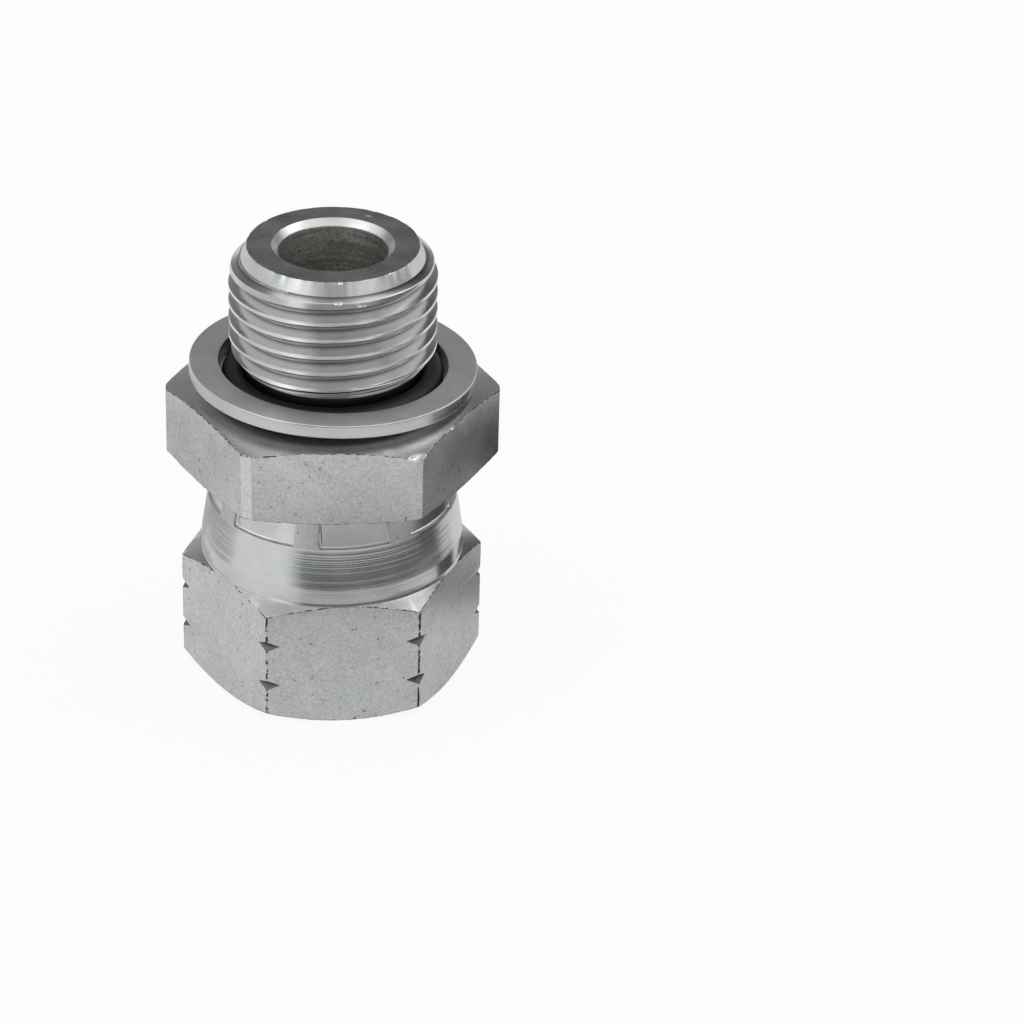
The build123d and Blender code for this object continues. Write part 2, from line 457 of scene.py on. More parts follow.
envelope = turned(
    "stud_envelope",
    [
        (0, HEX_TOP - SUNK),
        (UNDERCUT, HEX_TOP - SUNK),
        *stepped_runout(7),
        (THREAD_CREST + CLEAR, RUNOUT_TOP),
        (THREAD_CREST + CLEAR, LEAD_BOTTOM),
        (FIRST_CREST, FIRST_CREST_TOP, 0.1),
        (CHAMFER - 0.1, CHAMFER_BOTTOM),
        (FACE_RADIUS, STUD_TOP, 0.08),
        (0, STUD_TOP),
    ],
)
pick(envelope)
bpy.ops.object.mode_set(mode="EDIT")
roughen(lambda vert: abs(reach(vert.co) - FACE_RADIUS) < 0.15, FACE_ROUGHNESS, 3)
select("VERT", lambda vert: vert.co.z / MM > STUD_TOP - 0.05)
bpy.ops.transform.resize(value=(1, 1, 0), center_override=(0, 0, STUD_TOP * MM))
bpy.ops.object.mode_set(mode="OBJECT")
stud = threaded_bar("threaded_stud_body", HEX_TOP - 2 * SUNK, STUD_TOP + SUNK, THREAD_START)
pick(stud)
bpy.ops.object.mode_set(mode="EDIT")
roughen(lambda vert: reach(vert.co) > THREAD_CREST - 0.03, CREST_ROUGHNESS, 23)
bpy.ops.object.mode_set(mode="OBJECT")
combine(stud, envelope, "INTERSECT")
print("threaded end:", len(stud.data.polygons), "faces")

# %% Body hex
BODY_FACE = BODY_FLAT - 0.55
BODY_UNDER_FACE = BODY_FLAT - 0.1
BODY_MIDDLE = (HEX_TOP + HEX_BOTTOM) / 2
PAST = 1  # how far a bar or a cutter reaches past the finished piece
RIM_ROUNDING = 0.07
BODY_ROUGHNESS = 0.04
top_drop = slope(BODY_CORNER - BODY_FACE, 15)
under_rise = slope(BODY_CORNER - BODY_UNDER_FACE, 12)

envelope = turned(
    "hex_envelope",
    [
        (0, HEX_BOTTOM),
        (BODY_UNDER_FACE, HEX_BOTTOM),
        (BODY_CORNER, HEX_BOTTOM + under_rise),
        (BODY_CORNER, HEX_TOP - top_drop),
        (BODY_FACE, HEX_TOP, 0.1),
        (0, HEX_TOP),
    ],
)
hex_body = hex_bar("hex_body", BODY_FLAT, HEX_BOTTOM - PAST, HEX_TOP + PAST, 0)
combine(hex_body, envelope, "INTERSECT")
soften_rims(hex_body, lambda spot: abs(spot.z / MM - BODY_MIDDLE) > 2.5, RIM_ROUNDING)
pick(hex_body)
bpy.ops.object.mode_set(mode="EDIT")


def near_corner(vert):
    """True for the points of the rims and corners, all but those near the turned faces."""
    return reach(vert.co) > BODY_FACE + 0.3


roughen(near_corner, BODY_ROUGHNESS, 11)
bpy.ops.object.mode_set(mode="OBJECT")
combine(stud, hex_body, "UNION")
print("with its hex:", len(stud.data.polygons), "faces")

# %% Shank, flange and nose
NOSE_CHAMFER = 0.5
shank = turned(
    "shank",
    [
        (0, NOSE_FACE),
        (NOSE - NOSE_CHAMFER, NOSE_FACE),
        (NOSE, NOSE_FACE + NOSE_CHAMFER),
        (NOSE, FLANGE_BOTTOM),
        (FLANGE, FLANGE_BOTTOM, 0.1),
        (FLANGE, FLANGE_TOP, 0.1),
        (SHANK, FLANGE_TOP + FLANGE - SHANK),
        (SHANK, HEX_BOTTOM + SUNK),
        (0, HEX_BOTTOM + SUNK),
    ],
)
combine(stud, shank, "UNION")
print("with its shank:", len(stud.data.polygons), "faces")

# %% Bore
BORE_CHAMFER = 0.65
bore = turned(
    "bore",
    [
        (0, NOSE_FACE - PAST),
        (BORE + BORE_CHAMFER + PAST, NOSE_FACE - PAST),
        (BORE, NOSE_FACE + BORE_CHAMFER),
        (BORE, STUD_TOP - BORE_CHAMFER, 0.1),
        (BORE + BORE_CHAMFER + PAST, STUD_TOP + PAST),
        (0, STUD_TOP + PAST),
    ],
)
combine(stud, bore, "DIFFERENCE")
print("with its bore:", len(stud.data.polygons), "faces")

# %% Knocks on the stud
STUD_KNOCKS = (  # radius, angle in degrees, height, half-widths out, round and up
    (10.0, -87.0, 45.95, (0.25, 0.45, 0.22)),
    (10.1, -73.8, 45.5, (0.25, 0.5, 0.2)),
    (8.75, -85.5, 47.5, (0.3, 0.35, 0.22)),
    (9.5, -111.4, 46.95, (0.2, 0.5, 0.15)),
    (9.55, -60.0, 46.9, (0.15, 0.3, 0.15)),
    (7.3, 61.0, 47.6, (0.3, 0.45, 0.2)),
    (16.75, -60.0, 31.3, (0.6, 1.2, 0.45)),
    (15.25, -38.0, 31.85, (0.25, 0.4, 0.2)),
    (15.6, -120.5, 31.6, (0.3, 0.5, 0.2)),
    (16.3, -64.5, 24.9, (0.12, 0.25, 0.2)),
)
for seed, (radius, angle, height, size) in enumerate(STUD_KNOCKS):
    knock(stud, radius, angle, height, size, seed)
print("knocked:", len(stud.data.polygons), "faces")

# %% [markdown]
# ## The swivel nut
# The nut starts as a hex with a turned neck. After it is slipped over the flange, eight jaws
# squeeze the top of the neck inwards, and each leaves a shallow bite with a ridge of untouched
# metal beside it. The bites are cut with one block of the pressed form, spun over the width of
# a jaw and turned to each place. The neck's tool marks are drawn into its outline as fine
# uneven grooves, since they are deep enough to see.

# %% Hex of the nut
NUT_FACE = NUT_FLAT - 0.1
NUT_CLEAR = NUT_CORNER + CLEAR
NUT_CORNER_ROUNDING = 0.16
NUT_ROUGHNESS = 0.014

nut = hex_bar("crimped_swivel_nut", NUT_FLAT, -PAST, NUT_HEX_TOP + PAST, NUT_TURN)
blunt_corners(nut, NUT_CORNER_ROUNDING)
envelope = turned(
    "nut_envelope",
    [
        (0, 0),
        (NUT_FACE, 0),
        (NUT_CLEAR, slope(NUT_CLEAR - NUT_FACE, 30)),
        (NUT_CLEAR, NUT_HEX_TOP - slope(NUT_CLEAR - NUT_FACE, 25)),
        (NUT_FACE, NUT_HEX_TOP),
        (0, NUT_HEX_TOP),
    ],
)
combine(nut, envelope, "INTERSECT")


def on_bevel(spot):
    """True where the top or bottom bevel of the nut meets its sides."""
    return reach(spot) > NUT_FLAT + 0.02 and abs(spot.z / MM - NUT_HEX_TOP / 2) > 5


soften_rims(nut, on_bevel, RIM_ROUNDING)
ragged_corners(nut, cuts=40, rough=NUT_ROUGHNESS, seed=5)
print("nut hex:", len(nut.data.polygons), "faces")

# %% V grooves across the corners
GROOVES = (4.6, 9.2)
GROOVE_DEPTH = 0.65
GROOVE_FLOOR = NUT_CORNER - GROOVE_DEPTH
GROOVE_SPREAD = 1.2

for height in GROOVES:
    cutter = turned(
        "v_groove",
        [
            (GROOVE_FLOOR, height),
            (NUT_CORNER + GROOVE_DEPTH, height - GROOVE_SPREAD),
            (NUT_CORNER + GROOVE_DEPTH, height + GROOVE_SPREAD),
        ],
        closed=True,
    )
    combine(nut, cutter, "DIFFERENCE")
print("grooved hex:", len(nut.data.polygons), "faces")

# %% Neck with its tool marks
NECK_SEED = 7
MARK_GAPS = (0.13, 0.38)
MARK_DEPTHS = (0.002, 0.008)
MARK_HALF_WIDTH = 0.05


def neck_radius(height):
    """Outside of the neck at a height below the crimp."""
    share = max(0, (height - NECK_DRAW_BOTTOM) / (CRIMP_BOTTOM - NECK_DRAW_BOTTOM))
    return NECK + (CRIMP_FOOT - NECK) * share


def tool_marks(bottom, top):
    """(radius, height) points of uneven turned grooves between two heights."""
    draw = random.Random(NECK_SEED)
    points = []
    height = bottom
    while height < top:
        depth = draw.uniform(*MARK_DEPTHS)
        for offset, sink in ((-MARK_HALF_WIDTH, 0), (0, depth), (MARK_HALF_WIDTH, 0)):
            points.append((neck_radius(height + offset) - sink, height + offset))
        height += draw.uniform(*MARK_GAPS)
    return points


neck = turned(
    "neck",
    [
        (0, NUT_HEX_TOP / 2),
        (NECK, NUT_HEX_TOP / 2),
        (NECK + 0.12, NUT_HEX_TOP - 0.1),
        (NECK + 0.05, NUT_HEX_TOP + 0.06),
        *tool_marks(NUT_HEX_TOP + 0.3, CRIMP_BOTTOM - 0.3),
        (CRIMP_FOOT, CRIMP_BOTTOM, 0.2),
        (LIP, NUT_TOP, 0.35),
        (0, NUT_TOP),
    ],
)
combine(nut, neck, "UNION")
print("with its neck:", len(nut.data.polygons), "faces")

# %% Bites of the crimping jaws
JAWS = 8
JAW_WIDTH = 34  # degrees
JAW_STEPS = 24
FIRST_BITE = -96.5  # degrees
BITE = 0.4
BITE_TOP = NUT_TOP + 0.5
BITE_LIP = LIP - BITE - slope(BITE_TOP - NUT_TOP, CRIMP_SLOPE)
BITE_FILLET = 0.25
BITE_ROUNDINGS = ((1.5, 0.25), (0.3, 0.3), (0.25, 0.9), (0.6, 0.3))
SAME_PLACE = 0.01


def floor_edge(edge):
    """True for an edge round the floor of a bite, all but its open top."""
    if edge.calc_face_angle(0) < math.radians(30):
        return False
    for vert in edge.verts:
        height = vert.co.z / MM
        floor = CRIMP_FOOT - BITE - slope(height - CRIMP_BOTTOM, CRIMP_SLOPE)
        if abs(reach(vert.co) - floor) > SAME_PLACE or height > BITE_TOP - SAME_PLACE:
            return False
    return True


def jaw_bite(start, left, right):
    """Block that one jaw presses out, from a start angle, with its two lower corners rounded."""
    block = draw_outline(
        "jaw_bite",
        [
            (CRIMP_FOOT - BITE, CRIMP_BOTTOM),
            (NECK + PAST, CRIMP_BOTTOM),
            (NECK + PAST, BITE_TOP),
            (BITE_LIP, BITE_TOP),
        ],
        closed=True,
    )
    bpy.ops.mesh.edge_face_add()
    bpy.ops.mesh.spin(
        steps=JAW_STEPS, angle=-math.radians(JAW_WIDTH), center=(0, 0, 0), axis=(0, 0, 1)
    )
    bpy.ops.mesh.select_all(action="SELECT")
    bpy.ops.mesh.normals_make_consistent(inside=False)
    for side, rounding in ((0, left), (JAW_WIDTH, right)):

        def lower_corner(edge):
            """True for the radial edge at the foot of one end of the block."""
            points = [vert.co for vert in edge.verts]
            turns = [math.degrees(math.atan2(point.y, point.x)) for point in points]
            level = all(abs(point.z / MM - CRIMP_BOTTOM) < SAME_PLACE for point in points)
            return level and all(abs(turn - side) < 0.1 for turn in turns)

        select("EDGE", lower_corner)
        bpy.ops.mesh.bevel(offset=rounding * MM, segments=6)
    select("EDGE", floor_edge)
    bpy.ops.mesh.bevel(offset=BITE_FILLET * MM, segments=4)
    bpy.ops.object.mode_set(mode="OBJECT")
    block.rotation_euler = (0, 0, math.radians(start))
    bpy.ops.object.transform_apply(location=True, rotation=True, scale=True)
    return block


for place in range(JAWS):
    left, right = BITE_ROUNDINGS[place % len(BITE_ROUNDINGS)]
    start = FIRST_BITE + place * 360 / JAWS
    combine(nut, jaw_bite(start, left, right), "DIFFERENCE")
print("crimped neck:", len(nut.data.polygons), "faces")

# %% Inside of the nut
MOUTH_CHAMFER = 1.5
TAP_SHRINK = 0.1  # keeps the thread form inside the wall
inside = turned(
    "inside",
    [
        (0, -PAST),
        (THREAD_ROOT + MOUTH_CHAMFER + PAST, -PAST),
        (THREAD_ROOT, MOUTH_CHAMFER),
        (THREAD_ROOT, RELIEF_BOTTOM),
        (RELIEF, RELIEF_BOTTOM),
        (RELIEF, RELIEF_TOP),
        (THREAD_ROOT, RELIEF_TOP),
        (THREAD_ROOT, SHELF_TOP),
        (COUNTERBORE, SHELF_TOP),
        (COUNTERBORE, COUNTERBORE_TOP),
        (LIP_BORE, COUNTERBORE_TOP + COUNTERBORE - LIP_BORE),
        (LIP_BORE, NUT_TOP + PAST),
        (0, NUT_TOP + PAST),
    ],
)
combine(nut, inside, "DIFFERENCE")
tap = threaded_bar("tap", -PAST, RELIEF_BOTTOM + 0.7, 0, shrink=TAP_SHRINK)
combine(nut, tap, "DIFFERENCE")
print("threaded inside:", len(nut.data.polygons), "faces")

# %% [markdown]
# ## The two rings
# The steel ring is turned with a low hub underneath and small broken edges. It floats on the
# rubber, so it lies about two degrees out of level, and that is what makes the black gap under
# its rim grow from one side to the other. The seal is a round rubber cord ring. Its torus
# primitive is given the fine flash line that its two-part mould leaves round the outside.

# %% Retaining ring
ring = turned(
    "stepped_retaining_ring",
    [
        (RING_BORE, 0, 0.08),
        (RING_HUB, 0, 0.08),
        (RING_HUB, RING_HUB_HEIGHT),
        (RING_RIM, RING_HUB_HEIGHT, 0.12),
        (RING_RIM, RING_TOP, 0.16),
        (RING_BORE, RING_TOP, 0.14),
    ],
    closed=True,
)
SEAT_GAP = 0.02
lift = HEX_TOP + SEAT_GAP + RING_HUB * math.sin(RING_TILT)
pick(ring)
ring.matrix_world = (
    Matrix.Translation((0, 0, lift * MM))
    @ Matrix.Rotation(RING_LEAN, 4, "Z")
    @ Matrix.Rotation(RING_TILT, 4, "Y")
    @ Matrix.Rotation(-RING_LEAN, 4, "Z")
)
bpy.ops.object.transform_apply(location=True, rotation=True, scale=True)
print("ring:", len(ring.data.polygons), "faces")

# %% Seal ring
SEAL_SIDES = 32
SEAL_REACH = SEAL_CENTRE + SEAL_SECTION
FLASH_WIDTH = 0.03
bpy.ops.object.select_all(action="DESELECT")
bpy.ops.mesh.primitive_torus_add(
    major_segments=TURN_STEPS,
    minor_segments=SEAL_SIDES,
    major_radius=SEAL_CENTRE * MM,
    minor_radius=SEAL_SECTION * MM,
    location=(0, 0, SEAL_LEVEL * MM),
)
seal = bpy.context.object
seal.name = "rubber_seal_ring"
bpy.ops.object.transform_apply(location=True, rotation=True, scale=True)
bpy.ops.object.mode_set(mode="EDIT")


def equator(edge):
    """True for the edges round the outermost circle of the seal."""
    return all(reach(vert.co) > SEAL_REACH - 0.001 for vert in edge.verts)


select("EDGE", equator)
bpy.ops.mesh.bevel(offset=FLASH_WIDTH * MM, segments=2)
select("VERT", lambda vert: reach(vert.co) > SEAL_REACH - 0.0005)
bpy.ops.transform.resize(value=(0.998, 0.998, 1))
close_up()
print("seal:", len(seal.data.polygons), "faces")

# %% [markdown]
# ## Writing finishes as sums
# A finish is a small program: it takes the place of a point on the piece and returns a colour,
# a roughness and a height. Wiring its nodes by hand hides the thought, so two small classes let
# it be written as sums. A Field wraps one socket and turns +, -, *, / into Math nodes. A Finish
# is a material or a world being made, and its node method adds any other node.

# %% Field and Finish
class Field:
    """A value that varies over a surface, usable in sums."""

    def __init__(self, finish, plug):
        self.finish = finish
        self.plug = plug

    def maths(self, operation, *values):
        """Adds one Math node fed by fields or numbers."""
        return self.finish.node("ShaderNodeMath", {"operation": operation}, dict(enumerate(values)))

    def __add__(self, other):
        return self.maths("ADD", self, other)

    def __radd__(self, other):
        return self.maths("ADD", other, self)

    def __sub__(self, other):
        return self.maths("SUBTRACT", self, other)

    def __rsub__(self, other):
        return self.maths("SUBTRACT", other, self)

    def __mul__(self, other):
        return self.maths("MULTIPLY", self, other)

    def __truediv__(self, other):
        return self.maths("DIVIDE", self, other)

    def root(self):
        return self.maths("SQRT", self)

    def step(self, low, high):
        """Rises smoothly from 0 to 1 between two values."""
        settings = {"interpolation_type": "SMOOTHSTEP"}
        return self.finish.node("ShaderNodeMapRange", settings, {0: self, 1: low, 2: high})


class Finish:
    """A material or a world being made."""

    def __init__(self, name, kind="materials"):
        self.made = getattr(bpy.data, kind).new(name)
        self.made.use_nodes = True
        self.tree = self.made.node_tree
        self.tree.nodes.clear()

    def node(self, kind, settings=None, sockets=None, output=0):
        """Adds a node, sets it up, then fills its sockets with values or fields."""
        made = self.tree.nodes.new(kind)
        for key, value in (settings or {}).items():
            setattr(made, key, value)
        for key, value in (sockets or {}).items():
            if isinstance(value, Field):
                self.tree.links.new(value.plug, made.inputs[key])
            else:
                made.inputs[key].default_value = value
        return Field(self, made.outputs[output]) if made.outputs else None

    def place(self):
        """Place on the piece, in millimetres."""
        spot = self.node("ShaderNodeTexCoord", output="Object")
        return self.node("ShaderNodeMapping", {}, {"Vector": spot, "Scale": (1000, 1000, 1000)})

    def noise(self, vector, scale, detail=2.0, roughness=0.5, **more):
        """Cloudy pattern from 0 to 1; more gives settings or further sockets."""
        sockets = {"Vector": vector, "Scale": scale, "Detail": detail, "Roughness": roughness}
        return self.node("ShaderNodeTexNoise", more.pop("settings", {}), {**sockets, **more})

    def mix(self, factor, first, second):
        """Blends two colours."""
        settings = {"data_type": "RGBA"}
        return self.node("ShaderNodeMix", settings, {0: factor, 6: first, 7: second}, output=2)

    def bump(self, height, depth):
        """Surface relief: height is 0 to 1 and depth is in millimetres."""
        sockets = {"Height": height, "Distance": depth * MM, "Strength": 1.0}
        return self.node("ShaderNodeBump", {}, sockets)

    def surface(self, sockets):
        """Ends the material in one Principled shader."""
        shader = self.node("ShaderNodeBsdfPrincipled", {}, sockets)
        self.node("ShaderNodeOutputMaterial", {}, {"Surface": shader})
        return self.made


print("finish helpers are ready")

# %% [markdown]
# ## Zinc-plated steel
# The steel is plated with a thin dull coat of zinc, which is grey and satin, with a fine
# speckle, tiny dark pits where the bar was rough, and faint green and pink where the
# passivation is thicker. Fourteen separate materials could be wired, but they would repeat each
# other, so one function makes the coat and each kind of surface gives it its own roughness and
# tool marks: rolled flats have none, turned faces have rings that follow the lathe, and the
# bore has scratches round it. The thread is painted darker towards the axis, painted shade in
# its roots, and lighter on its crests, a painted highlight. Knocks show fresh bright metal, and
# on the worn edges the coat has chipped to dark dots between bright burrs.

# %% Zinc coat
ROOT_SHADE = 0.36  # how much of its tone a thread root keeps under its painted shade
PAINTED_CREST_HIGHLIGHT_GAIN = 0.3  # how much lighter the crests are painted, as a painted highlight
COAT_RELIEF = 0.006  # millimetres


def zinc(
    name,
    colour,
    roughness,
    pits=0.0,
    marks=0.0,
    mark_scale=6.0,
    tint=0.05,
    speckle=0.3,
    texture=0.6,
    cloudy=0.3,
    painted_root_shade=None,
    painted_crest_highlight=None,
):
    """Zinc-plated steel; two radius pairs set painted shade in roots and a painted highlight on
    crests.
    """
    coat = Finish(name)
    place = coat.place()
    parts = [coat.node("ShaderNodeSeparateXYZ", {}, {0: place}, output=axis) for axis in range(3)]
    x, y, z = parts
    radius = (x * x + y * y).root()

    grain = coat.noise(place, 3.4, 5.0, 0.7)
    cloud = coat.noise(place, 0.3, 3.0, 0.55)
    shade = 1.0 + (grain - 0.5) * speckle + (cloud - 0.5) * cloudy
    height = grain * texture
    rough = roughness + (cloud - 0.5) * 0.1 + (grain - 0.5) * texture * 0.2

    if pits:
        spots = coat.noise(place, 1.7, 3.0, 0.65).step(0.64, 0.69)
        specks = coat.noise(place, 5.0, 2.0, 0.5).step(0.69, 0.74)
        holes = (spots + specks * 0.6) * pits
        shade = shade * (1 - holes * 0.6)
        height = height - holes * 1.2
        rough = rough + holes * 0.2

    if marks:
        turned_place = {0: x / radius, 1: y / radius, 2: z * mark_scale}
        around_axis = coat.node("ShaderNodeCombineXYZ", {}, turned_place)
        settings = {"noise_dimensions": "4D"}
        lines = coat.noise(around_axis, 1.0, 3.0, 0.6, settings=settings, W=radius * mark_scale)
        shade = shade * (1 + (lines - 0.5) * marks * 0.6)
        height = height + lines * marks

    # Painted shade makes the colour darker towards the axis, for the thread roots; a painted
    # highlight makes it lighter near the crests.
    if painted_root_shade:
        shade = shade * (ROOT_SHADE + radius.step(*painted_root_shade) * (1 - ROOT_SHADE))
    if painted_crest_highlight:
        shade = shade * (1 + radius.step(*painted_crest_highlight) * PAINTED_CREST_HIGHLIGHT_GAIN)

    tone = coat.noise(place, 0.22, 2.0, 0.5)
    green = tone.step(0.55, 0.72) * tint
    pink = (1 - tone).step(0.58, 0.72) * tint * 0.6
    red, mid, blue = colour
    plain = coat.mix(green, (*colour, 1), (red * 0.55, mid * 1.05, blue * 0.92, 1))
    warm = coat.mix(pink, plain, (red * 1.05, mid * 0.75, blue * 0.95, 1))
    grey = coat.node("ShaderNodeCombineColor", {}, {0: shade, 1: shade, 2: shade})
    settings = {"data_type": "RGBA", "blend_type": "MULTIPLY"}
    shaded = coat.node("ShaderNodeMix", settings, {0: 1.0, 6: warm, 7: grey}, output=2)
    return coat.surface(
        {
            "Base Color": shaded,
            "Metallic": 1.0,
            "Roughness": rough,
            "Normal": coat.bump(height, COAT_RELIEF),
        }
    )


def burrs():
    """Worn edges, where the plating has chipped to dark dots between bright burrs."""
    coat = Finish("burred_edges")
    place = coat.place()
    dots = coat.noise(place, 2.3, 2.0, 0.6).step(0.46, 0.56)
    chips = coat.noise(place, 4.0, 2.0, 0.5)
    return coat.surface(
        {
            "Base Color": coat.mix(dots, (0.05, 0.05, 0.048, 1), (0.62, 0.63, 0.62, 1)),
            "Metallic": 1.0,
            "Roughness": 0.55 - dots * 0.2,
            "Normal": coat.bump(dots + chips * 0.6, 0.03),
        }
    )


ZINC = (0.71, 0.715, 0.71)
# Radii where the painted root shade fades out and where the painted crest highlight comes in
PAINTED_ROOT_SHADE_RADII = (THREAD_ROOT - 0.1, THREAD_ROOT + 0.5)
PAINTED_CREST_HIGHLIGHT_RADII = (THREAD_CREST - 0.14, THREAD_CREST - 0.06)
finishes = {
    "flats": zinc(
        "zinc_on_rolled_flats", ZINC, 0.43, pits=1.0, tint=0.10, speckle=1.2, texture=1.2
    ),
    "bevel": zinc(
        "zinc_on_turned_bevels",
        ZINC,
        0.33,
        pits=0.4,
        marks=0.3,
        mark_scale=5,
        tint=0.12,
        speckle=0.5,
    ),
    "lead": zinc(
        "zinc_on_lead_chamfer",
        (0.69, 0.695, 0.69),
        0.33,
        marks=0.25,
        mark_scale=9,
        tint=0.12,
        texture=0.3,
    ),
    "neck": zinc(
        "zinc_on_turned_neck",
        ZINC,
        0.22,
        marks=0.1,
        mark_scale=7,
        tint=0.16,
        speckle=0.12,
        texture=0.15,
    ),
    "bites": zinc(
        "zinc_on_jaw_bites",
        (0.75, 0.755, 0.75),
        0.34,
        pits=0.3,
        marks=0.1,
        mark_scale=4,
        texture=0.4,
    ),
    "bridges": zinc("zinc_between_bites", (0.62, 0.62, 0.61), 0.42, pits=0.9, speckle=0.6),
    "thread": zinc(
        "zinc_on_thread",
        ZINC,
        0.24,
        marks=0.05,
        mark_scale=9,
        speckle=0.08,
        texture=0.06,
        cloudy=0.15,
        painted_root_shade=PAINTED_ROOT_SHADE_RADII,
        painted_crest_highlight=PAINTED_CREST_HIGHLIGHT_RADII,
    ),
    "edge": burrs(),
    # The V grooves are painted near black, as painted shade in the recesses.
    "groove": zinc("zinc_in_v_grooves", (0.16, 0.165, 0.16), 0.5, pits=0.8, speckle=1.2),
    "nick": zinc("bright_nicks", (0.86, 0.86, 0.85), 0.25, speckle=0.4, texture=0.4),
    "end": zinc(
        "zinc_on_sawn_end",
        (0.36, 0.37, 0.37),
        0.44,
        pits=0.6,
        marks=0.7,
        mark_scale=5,
        speckle=1.2,
        cloudy=1.2,
    ),
    "bore": zinc(
        "zinc_in_drilled_bore", (0.62, 0.61, 0.59), 0.38, marks=3.0, mark_scale=3, speckle=2.0
    ),
    "ring": zinc(
        "zinc_on_turned_ring", ZINC, 0.5, marks=0.6, mark_scale=8, tint=0.2, texture=0.5
    ),
    "ring_side": zinc("zinc_on_ring_side", (0.62, 0.625, 0.62), 0.24, marks=0.5, mark_scale=8),
}
print("zinc finishes:", ", ".join(finishes))

# %% [markdown]
# ## Rubber
# The seal is black nitrile rubber, barely shiny, with a little dust in it. A plain black would
# do from afar, but close up it would look like a hole, so the dust lifts its tone here and
# there and a fine relief breaks its highlights.

# %% Rubber
def rubber():
    """Black nitrile rubber with a faint sheen and a little dust."""
    skin = Finish("black_rubber")
    place = skin.place()
    dust = skin.noise(place, 2.5, 4.0, 0.7)
    fine = skin.noise(place, 14.0, 2.0, 0.5)
    black = (0.006, 0.006, 0.006, 1)
    dusty = (0.03, 0.03, 0.028, 1)
    colour = skin.mix(dust.step(0.55, 0.8) * 0.5, black, dusty)
    return skin.surface(
        {
            "Base Color": colour,
            "Roughness": 0.42 + dust * 0.2,
            "Specular IOR Level": 0.45,
            "Normal": skin.bump(fine, 0.003),
        }
    )


seal.data.materials.append(rubber())
print("rubber is ready")

# %% [markdown]
# ## Giving each surface its finish
# The finishes are put on by place, as a printer masks a part: each face is sorted by how far
# it lies from the axis, how high it lies and which way it faces. Splitting the pieces up by
# material would be easier to read, but each of them is one solid piece of steel.

# %% Sort faces
SHARP = math.radians(13)
BRIGHT_ABOVE = 30  # knocks lower down have gone dull
BRIGHT_BEYOND = 8  # and so has the one on the end face


def paint(piece, kinds, sort):
    """Gives a piece its finishes and puts one on each face, as a function sorts them."""
    piece.data.materials.clear()
    for kind in kinds:
        piece.data.materials.append(finishes[kind])
    counts = dict.fromkeys(kinds, 0)
    for face in piece.data.polygons:
        kind = sort(face.center, face.normal)
        face.material_index = kinds.index(kind)
        counts[kind] += 1
    pick(piece)
    bpy.ops.object.shade_smooth_by_angle(angle=SHARP)
    print(piece.name, counts)


def in_knock(spot):
    """True for a face that lies in one of the dents of the stud."""
    for radius, angle, height, size in STUD_KNOCKS:
        turn = math.radians(angle)
        middle = Vector((radius * math.cos(turn), radius * math.sin(turn), height))
        across = Matrix.Rotation(-turn, 3, "Z") @ (spot / MM - middle)
        if math.hypot(across.x / size[0], across.y / size[1], across.z / size[2]) < 1.1:
            return True
    return False


def sort_stud(spot, normal):
    """Finish for a face of the stud."""
    radius, height = reach(spot), spot.z / MM
    if height > BRIGHT_ABOVE and radius > BRIGHT_BEYOND and in_knock(spot):
        return "nick"
    if radius < BORE + BORE_CHAMFER + 0.1:
        return "bore" if radius < BORE + 0.05 else "lead"
    if height > STUD_TOP - 0.3 and (radius < FACE_RADIUS - 0.2 or normal.z > 0.9):
        return "end"
    if height > CHAMFER_BOTTOM - 0.05:
        return "lead"
    if height > HEX_TOP + 0.05 or height < HEX_BOTTOM - 0.05:
        return "thread"
    if abs(normal.z) < 0.1:
        return "flats"
    return "bevel" if abs(normal.z) > 0.92 else "edge"


def off_flat(normal):
    """Degrees between a level direction and the nearest flat of the nut."""
    turn = math.degrees(math.atan2(normal.y, normal.x)) - NUT_TURN - 30
    return abs((turn + 30) % 60 - 30)


def sort_nut(spot, normal):
    """Finish for a face of the nut."""
    radius, height = reach(spot), spot.z / MM
    if height > CRIMP_BOTTOM - 0.01:
        bitten = CRIMP_FOOT - slope(height - CRIMP_BOTTOM, CRIMP_SLOPE) - radius
        return "bites" if bitten > BITE / 2 else "bridges"
    if height > NUT_HEX_TOP or (height > NUT_HEX_TOP - 0.15 and radius < NECK + 0.13):
        return "neck"
    if radius < THREAD_CREST + 0.5:
        return "thread"
    if abs(normal.z) < 0.1:
        return "edge" if off_flat(normal) > 8 else "flats"
    if 0.7 < abs(normal.z) < 0.77 and radius > GROOVE_FLOOR:
        return "groove"
    return "bevel" if abs(normal.z) > 0.8 else "edge"


def sort_ring(spot, normal):
    """Finish for a face of the retaining ring."""
    return "ring" if abs(normal.z) > 0.6 else "ring_side"


paint(stud, ["bore", "bevel", "lead", "end", "thread", "flats", "edge", "nick"], sort_stud)
paint(nut, ["neck", "bites", "bridges", "thread", "flats", "bevel", "edge", "groove"], sort_nut)
paint(ring, ["ring", "ring_side"], sort_ring)
pick(seal)
bpy.ops.object.shade_smooth()

# %% [markdown]
# ## Riding on the frame
# Each modelled piece stands for its plain solid and moves with its body. Only the nut
# swivels; the seal and the ring stay on the stud.

# %% Ride and replace
for piece, body, node, slot in (
    (stud, "body", "stud_body", "body_steel"),
    (nut, "nut", "swivel_nut", "nut_steel"),
    (seal, "body", "o_ring", "seal_rubber"),
    (ring, "body", "retaining_ring", "ring_steel"),
):
    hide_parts(node)
    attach(piece, body)
    print(piece.name, "rides on", body)

